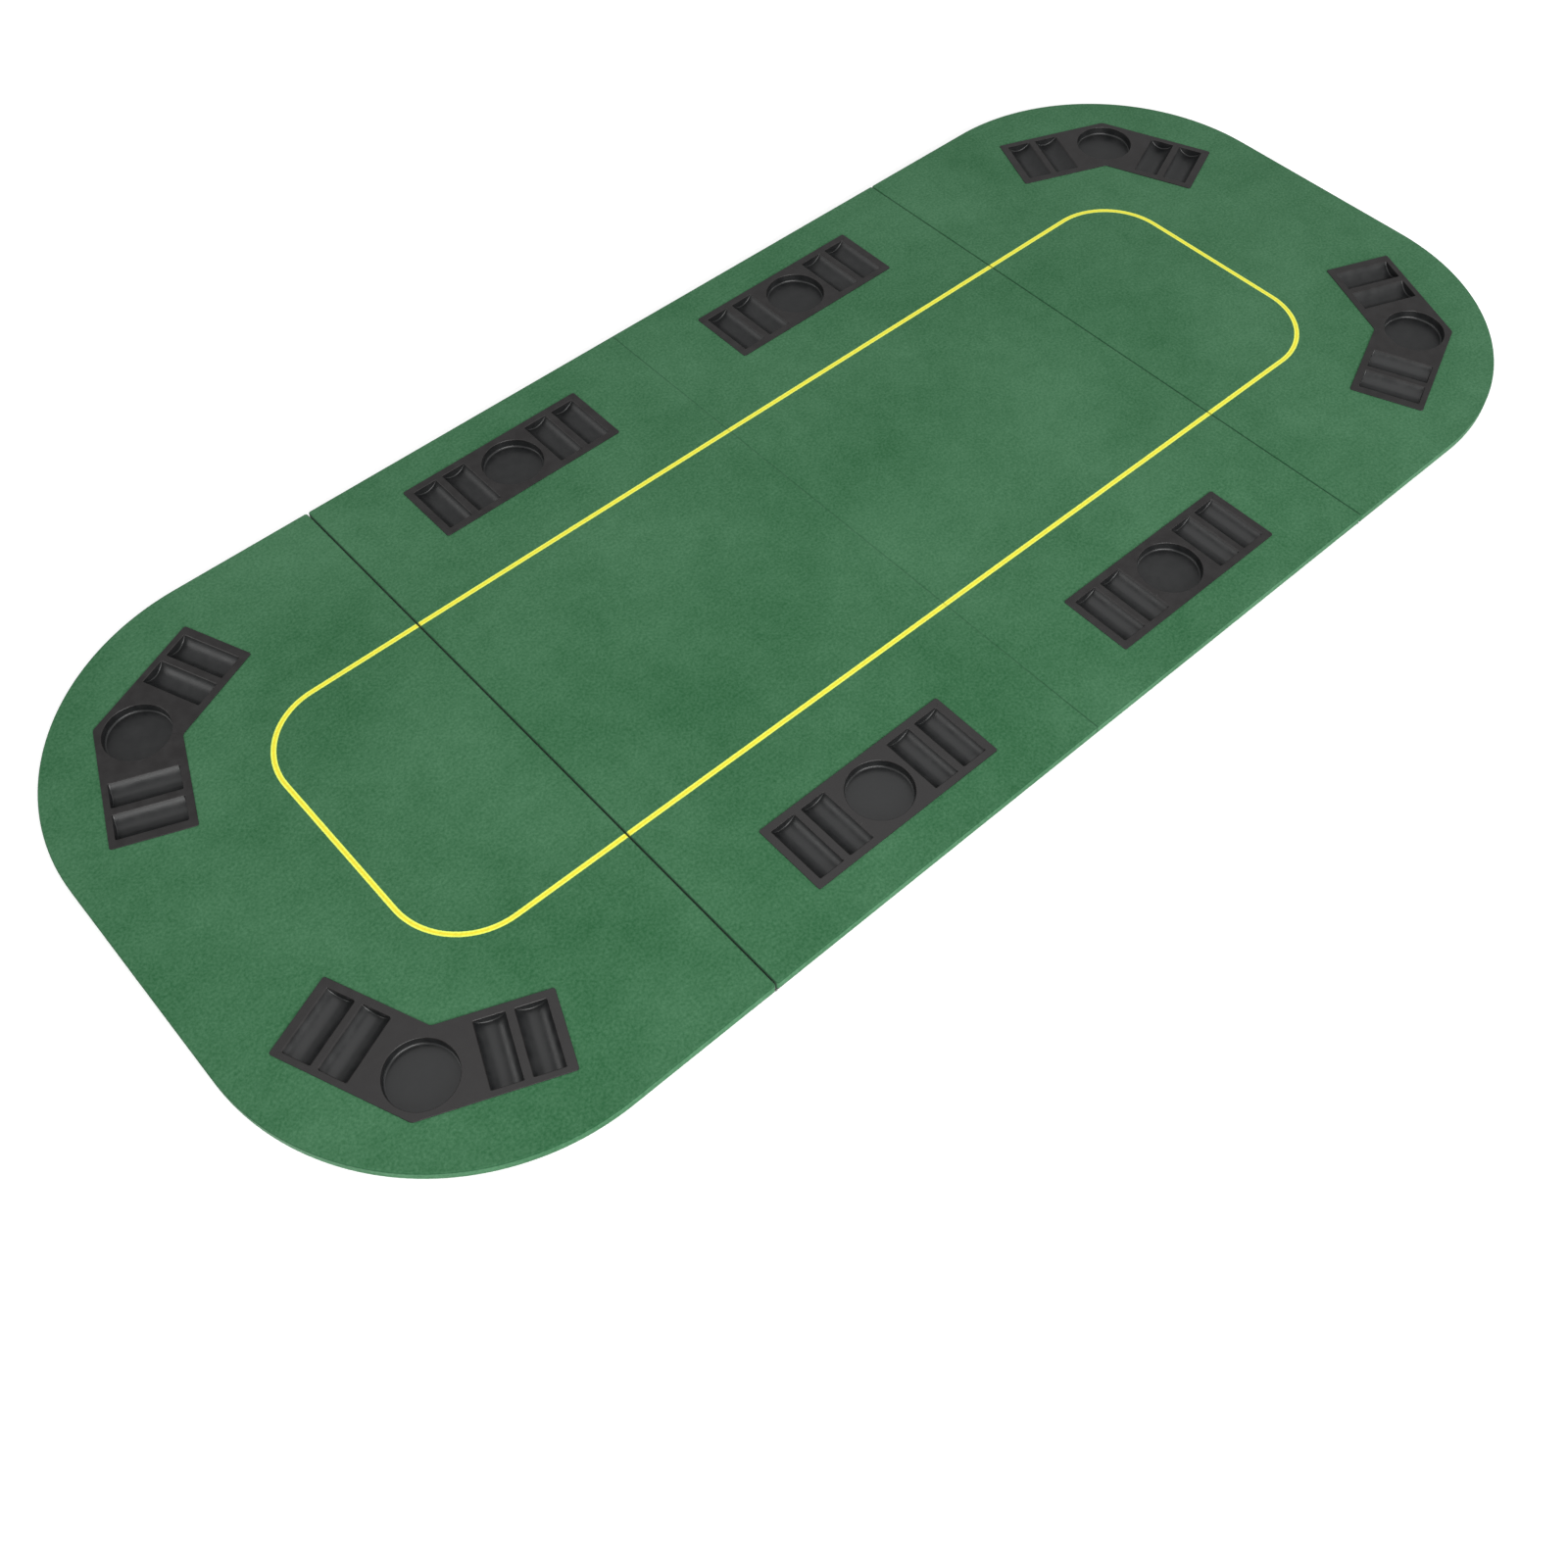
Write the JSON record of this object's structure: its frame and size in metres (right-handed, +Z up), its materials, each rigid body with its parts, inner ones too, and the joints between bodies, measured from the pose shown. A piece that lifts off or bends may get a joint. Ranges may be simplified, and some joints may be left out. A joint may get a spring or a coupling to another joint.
{
  "type": "folding poker table top",
  "caption": "Long felt-covered table top with rounded ends that folds in a zigzag, with straight and bent trays for drinks and chips let into it.",
  "frame": {"origin": "middle of the open table top, on the surface that its feet stand on", "axes": "+X along the length, +Y across the width to the far side, +Z up out of the playing face"},
  "size_m": [2.0066, 0.914, 0.0183],
  "materials": {
    "board": "raw medium-density fibreboard",
    "felt": "short-nap green felt with a printed yellow line",
    "tape": "woven cotton tape",
    "tray": "near-black moulded plastic, fine grain",
    "hinge_steel": "zinc-plated sheet steel",
    "pin_steel": "drawn steel wire",
    "screw_steel": "zinc-plated, cross recess",
    "staple_wire": "galvanised wire",
    "rubber": "matt black"
  },
  "bodies": {
    "end_left": {"board_end_left": "board", "felt_end_left": "felt", "tray_end_left_near": "tray", "tray_end_left_far": "tray", "leaf_end_left_near": "hinge_steel", "leaf_end_left_centre": "hinge_steel", "leaf_end_left_far": "hinge_steel", "screws_end_left": "screw_steel", "staples_end_left": "staple_wire", "feet_end_left": "rubber"},
    "mid_left": {"board_mid_left": "board", "felt_mid_left": "felt", "tape_left": "tape", "tray_mid_left_near": "tray", "tray_mid_left_far": "tray", "leaf_mid_left_near": "hinge_steel", "leaf_mid_left_centre": "hinge_steel", "leaf_mid_left_far": "hinge_steel", "pin_left_near": "pin_steel", "pin_left_centre": "pin_steel", "pin_left_far": "pin_steel", "screws_mid_left": "screw_steel", "staples_mid_left": "staple_wire", "feet_mid_left": "rubber"},
    "mid_right": {"board_mid_right": "board", "felt_mid_right": "felt", "tape_right": "tape", "tray_mid_right_near": "tray", "tray_mid_right_far": "tray", "leaf_mid_right_near": "hinge_steel", "leaf_mid_right_centre": "hinge_steel", "leaf_mid_right_far": "hinge_steel", "pin_right_near": "pin_steel", "pin_right_centre": "pin_steel", "pin_right_far": "pin_steel", "screws_mid_right": "screw_steel", "staples_mid_right": "staple_wire", "feet_mid_right": "rubber"},
    "end_right": {"board_end_right": "board", "felt_end_right": "felt", "tray_end_right_near": "tray", "tray_end_right_far": "tray", "leaf_end_right_near": "hinge_steel", "leaf_end_right_centre": "hinge_steel", "leaf_end_right_far": "hinge_steel", "screws_end_right": "screw_steel", "staples_end_right": "staple_wire", "feet_end_right": "rubber"}
  },
  "joints": [
    {"name": "fold_left", "type": "hinge", "parent": "mid_left", "child": "end_left", "pos_m": [-0.5015, 0, 0.0019], "axis": [0, -1, 0], "range_deg": [0, 180]},
    {"name": "fold_middle", "type": "hinge", "parent": "mid_left", "child": "mid_right", "pos_m": [0.0006, 0, 0.0171], "axis": [0, -1, 0], "range_deg": [0, 178.5]},
    {"name": "fold_right", "type": "hinge", "parent": "mid_right", "child": "end_right", "pos_m": [0.5021, 0, 0.0019], "axis": [0, 1, 0], "range_deg": [0, 180]}
  ]
}
